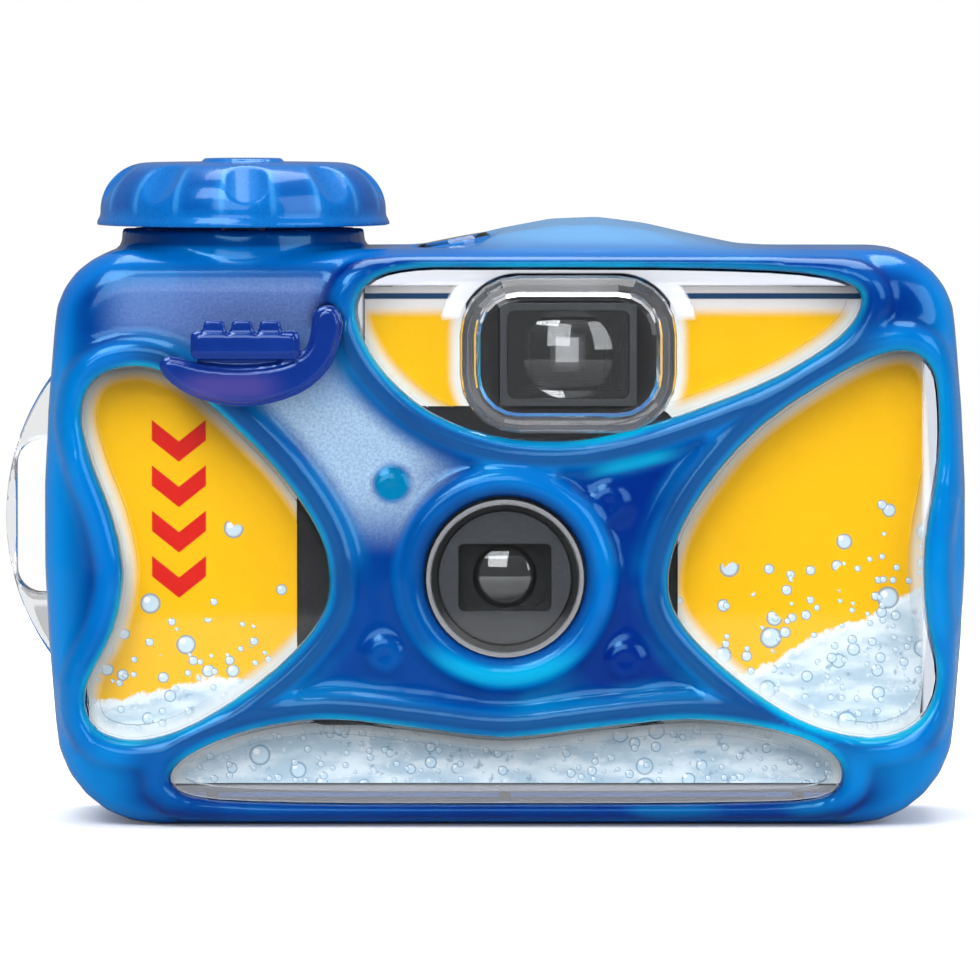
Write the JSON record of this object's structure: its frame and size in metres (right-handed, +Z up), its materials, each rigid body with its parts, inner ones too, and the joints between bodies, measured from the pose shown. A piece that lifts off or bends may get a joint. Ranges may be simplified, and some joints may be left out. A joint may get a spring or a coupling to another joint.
{
  "type": "waterproof single-use film camera",
  "caption": "Film camera sealed in a clear waterproof housing with a blue shockproof frame, winding knob, shutter lever and strap loop.",
  "frame": {"origin": "on the flat base, under the lens axis, midway through the film camera's depth", "axes": "+X along the body to the viewer's right, -Y out of the lens, +Z up"},
  "size_m": [0.132, 0.0448, 0.091],
  "materials": {
    "blue_frame": "translucent blue moulding, softly glossy",
    "blue_grip": "translucent blue moulding, glossy",
    "clear_housing": "clear, glossy",
    "clear_lens": "clear, polished",
    "seal_rubber": "matte",
    "steel": "plain drawn wire and rod",
    "black_plastic": "fine matte texture",
    "thin_metal": "matte black paint",
    "white_plastic": "plain moulding",
    "card": "printed, satin",
    "film": "film base"
  },
  "bodies": {
    "camera": {"front_frame": "blue_frame", "rear_frame": "blue_frame", "front_housing": "clear_housing", "rear_housing": "clear_housing", "lens_window": "clear_housing", "counter_window": "clear_housing", "strap_loop": "clear_housing", "taking_lens": "clear_lens", "finder_front_lens": "clear_lens", "finder_eye_lens": "clear_lens", "housing_gasket": "seal_rubber", "knob_seal": "seal_rubber", "button_spring": "steel", "inner_front_cover": "black_plastic", "inner_back_cover": "black_plastic", "chassis": "black_plastic", "lens_surround": "black_plastic", "lens_retainer": "black_plastic", "finder_tube": "black_plastic", "shutter_plate": "thin_metal", "film_cassette": "thin_metal", "front_card": "card", "film_strip": "film"},
    "winder": {"advance_knob": "blue_grip", "knob_shaft": "steel", "thumbwheel": "black_plastic", "cassette_spool": "black_plastic"},
    "release": {"shutter_lever": "blue_grip", "lever_shaft": "steel", "lever_seal": "seal_rubber", "release_arm": "black_plastic"},
    "button": {"shutter_button": "black_plastic"},
    "blade": {"shutter_blade": "thin_metal"},
    "striker": {"striker": "steel"},
    "meter": {"metering_lever": "white_plastic"},
    "sprocket": {"sprocket_wheel": "white_plastic"},
    "supply": {"supply_spool": "black_plastic", "film_roll": "film"},
    "counter": {"counter_dial": "white_plastic"}
  },
  "joints": [
    {"name": "knob_turn", "type": "hinge", "parent": "camera", "child": "winder", "pos_m": [-0.0361, 0, 0.08], "axis": [0, 0, 1], "continuous": true},
    {"name": "sprocket_turn", "type": "hinge", "parent": "camera", "child": "sprocket", "pos_m": [-0.0155, 0.00335, 0.05], "axis": [0, 0, 1], "continuous": true},
    {"name": "supply_turn", "type": "hinge", "parent": "camera", "child": "supply", "pos_m": [0.037, 0.0006, 0.034], "axis": [0, 0, 1], "continuous": true},
    {"name": "counter_turn", "type": "hinge", "parent": "camera", "child": "counter", "pos_m": [-0.0115, -0.0055, 0.0665], "axis": [0, 0, 1], "continuous": true},
    {"name": "lever_press", "type": "hinge", "parent": "camera", "child": "release", "pos_m": [-0.0241, -0.02, 0.0693], "axis": [0, -1, 0], "range_deg": [0, 8], "stiffness_Nm_per_rad": 0.3, "springref_deg": -3.44},
    {"name": "button_press", "type": "slide", "parent": "camera", "child": "button", "axis": [0, 0, -1], "range_m": [0, 0.001], "deforming": ["button_spring"]},
    {"name": "blade_swing", "type": "hinge", "parent": "camera", "child": "blade", "pos_m": [0.0064, -0.0106, 0.0278], "axis": [0, 1, 0], "range_deg": [0, 32], "stiffness_Nm_per_rad": 0.0004, "springref_deg": -5.73},
    {"name": "striker_swing", "type": "hinge", "parent": "camera", "child": "striker", "pos_m": [-0.013, -0.01, 0.0482], "axis": [0, 1, 0], "range_deg": [0, 16], "stiffness_Nm_per_rad": 0.002, "springref_deg": -5.73},
    {"name": "meter_swing", "type": "hinge", "parent": "camera", "child": "meter", "pos_m": [-0.0238, -0.0072, 0.0585], "axis": [0, 0, 1], "range_deg": [0, 8], "stiffness_Nm_per_rad": 0.001, "springref_deg": -5.73}
  ],
  "couplings": [
    {"joint": "sprocket_turn", "follows": "knob_turn", "ratio": 1},
    {"joint": "supply_turn", "follows": "knob_turn", "ratio": 0.69},
    {"joint": "counter_turn", "follows": "knob_turn", "ratio": -0.02778},
    {"joint": "button_press", "follows": "lever_press", "m_per_rad": 0.0065}
  ]
}
